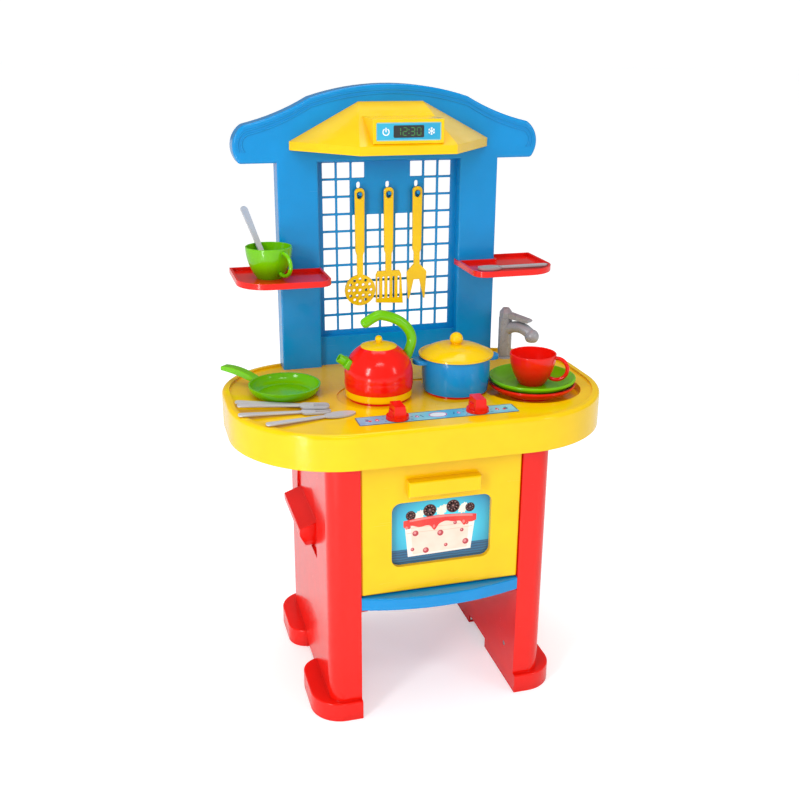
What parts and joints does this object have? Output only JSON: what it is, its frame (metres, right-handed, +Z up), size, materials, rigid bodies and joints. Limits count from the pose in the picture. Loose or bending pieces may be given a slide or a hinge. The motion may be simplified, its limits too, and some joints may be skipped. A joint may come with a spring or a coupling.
{
  "type": "toy kitchen",
  "caption": "Child's free-standing toy kitchen with an oven that opens, hob, sink with tap, grid back wall with hood and shelves, and pretend crockery, pans and tools.",
  "frame": {"origin": "on the floor, under the middle of the whole object's box", "axes": "+Z up, -Y towards the child who plays, +X to that child's right"},
  "size_m": [0.46, 0.29, 0.7263],
  "materials": {
    "red_plastic": "glossy moulded polypropylene",
    "yellow_plastic": "glossy moulded polypropylene",
    "blue_plastic": "glossy moulded polypropylene",
    "green_plastic": "glossy moulded polypropylene",
    "grey_plastic": "satin grey moulded plastic",
    "silver_plastic": "satin silver-grey moulded plastic",
    "white_plastic": "natural moulded clip",
    "screw_steel": "zinc-plated",
    "picture_sticker": "printed glossy sticker",
    "control_print": "printed glossy sticker",
    "clock_print": "printed glossy sticker"
  },
  "bodies": {
    "carcass": {"worktop": "yellow_plastic", "left_leg": "red_plastic", "right_leg": "red_plastic", "left_leg_liner": "red_plastic", "right_leg_liner": "red_plastic", "liner_screws": "screw_steel", "bottom_tray": "blue_plastic", "oven_back": "blue_plastic", "back_panel": "blue_plastic", "hood": "yellow_plastic", "display_sticker": "clock_print", "left_shelf": "red_plastic", "right_shelf": "red_plastic", "left_hob_ring": "red_plastic", "right_hob_ring": "red_plastic", "control_strip": "control_print"},
    "oven_door": {"oven_door": "yellow_plastic", "door_picture": "picture_sticker"},
    "left_knob": {"left_knob": "red_plastic", "left_knob_clip": "white_plastic"},
    "right_knob": {"right_knob": "red_plastic", "right_knob_clip": "white_plastic"},
    "tap_spout": {"tap_spout": "grey_plastic", "tap_clip": "white_plastic"},
    "tap_lever": {"tap_lever": "grey_plastic"},
    "kettle": {"kettle_body": "red_plastic", "kettle_base": "yellow_plastic", "kettle_spout": "green_plastic", "kettle_handle": "green_plastic"},
    "kettle_lid": {"kettle_lid": "yellow_plastic"},
    "pot": {"pot": "blue_plastic"},
    "pot_lid": {"pot_lid": "yellow_plastic"},
    "frying_pan": {"frying_pan": "green_plastic"},
    "red_plate": {"red_plate": "red_plastic"},
    "green_plate": {"green_plate": "green_plastic"},
    "red_cup": {"red_cup": "red_plastic"},
    "green_cup": {"green_cup": "green_plastic"},
    "cup_spoon": {"cup_spoon": "silver_plastic"},
    "shelf_spoon": {"shelf_spoon": "silver_plastic"},
    "table_knife": {"table_knife": "silver_plastic"},
    "lower_fork": {"lower_fork": "silver_plastic"},
    "upper_fork": {"upper_fork": "silver_plastic"},
    "table_spoon": {"table_spoon": "silver_plastic"},
    "skimmer": {"skimmer": "yellow_plastic"},
    "turner": {"turner": "yellow_plastic"},
    "carving_fork": {"carving_fork": "yellow_plastic"}
  },
  "joints": [
    {"name": "door_hinge", "type": "hinge", "parent": "carcass", "child": "oven_door", "pos_m": [0, -0.118, 0.1695], "axis": [1, 0, 0], "range_deg": [0, 90]},
    {"name": "left_knob_turn", "type": "hinge", "parent": "carcass", "child": "left_knob", "pos_m": [-0.048, -0.1005, 0.373], "axis": [0, 0, 1], "continuous": true},
    {"name": "right_knob_turn", "type": "hinge", "parent": "carcass", "child": "right_knob", "pos_m": [0.048, -0.1005, 0.373], "axis": [0, 0, 1], "continuous": true},
    {"name": "tap_swivel", "type": "hinge", "parent": "carcass", "child": "tap_spout", "pos_m": [0.156, 0.093, 0.3725], "axis": [0, 0, 1], "range_deg": [-60, 60]},
    {"name": "tap_lever_turn", "type": "hinge", "parent": "tap_spout", "child": "tap_lever", "pos_m": [0.156, 0.093, 0.427], "axis": [0, 0, 1], "range_deg": [-40, 40]},
    {"name": "kettle_lift", "type": "slide", "parent": "carcass", "child": "kettle", "axis": [0, 0, 1], "range_m": [0, 0.12]},
    {"name": "kettle_lid_lift", "type": "slide", "parent": "kettle", "child": "kettle_lid", "axis": [0, 0, 1], "range_m": [0, 0.008]},
    {"name": "pot_lift", "type": "slide", "parent": "carcass", "child": "pot", "axis": [0.2, 0, 0.9798], "range_m": [0, 0.12]},
    {"name": "pot_lid_lift", "type": "slide", "parent": "pot", "child": "pot_lid", "axis": [0, 0, 1], "range_m": [0, 0.06]},
    {"name": "pan_lift", "type": "slide", "parent": "carcass", "child": "frying_pan", "axis": [0, 0, 1], "range_m": [0, 0.08]},
    {"name": "red_plate_lift", "type": "slide", "parent": "carcass", "child": "red_plate", "axis": [0.702, -0.1203, 0.702], "range_m": [0, 0.08]},
    {"name": "green_plate_lift", "type": "slide", "parent": "red_plate", "child": "green_plate", "axis": [0.702, -0.1203, 0.702], "range_m": [0, 0.04]},
    {"name": "red_cup_lift", "type": "slide", "parent": "green_plate", "child": "red_cup", "axis": [0, 0, 1], "range_m": [0, 0.05]},
    {"name": "green_cup_lift", "type": "slide", "parent": "carcass", "child": "green_cup", "axis": [0, -0.7071, 0.7071], "range_m": [0, 0.045]},
    {"name": "cup_spoon_pull", "type": "slide", "parent": "green_cup", "child": "cup_spoon", "axis": [0, 0, 1], "range_m": [0, 0.035]},
    {"name": "shelf_spoon_lift", "type": "slide", "parent": "carcass", "child": "shelf_spoon", "axis": [0, 0, 1], "range_m": [0, 0.05]},
    {"name": "knife_pull", "type": "slide", "parent": "carcass", "child": "table_knife", "axis": [-0.9553, 0.2939, 0.0331], "range_m": [0, 0.03]},
    {"name": "lower_fork_lift", "type": "slide", "parent": "carcass", "child": "lower_fork", "axis": [0, 0, 1], "range_m": [0, 0.03]},
    {"name": "upper_fork_lift", "type": "slide", "parent": "lower_fork", "child": "upper_fork", "axis": [0, 0, 1], "range_m": [0, 0.03]},
    {"name": "table_spoon_lift", "type": "slide", "parent": "carcass", "child": "table_spoon", "axis": [0, 0, 1], "range_m": [0, 0.05]},
    {"name": "skimmer_unhook", "type": "slide", "parent": "carcass", "child": "skimmer", "axis": [0, -1, 0], "range_m": [0, 0.04]},
    {"name": "turner_unhook", "type": "slide", "parent": "carcass", "child": "turner", "axis": [0, -1, 0], "range_m": [0, 0.04]},
    {"name": "carving_fork_unhook", "type": "slide", "parent": "carcass", "child": "carving_fork", "axis": [0, -1, 0], "range_m": [0, 0.04]}
  ]
}
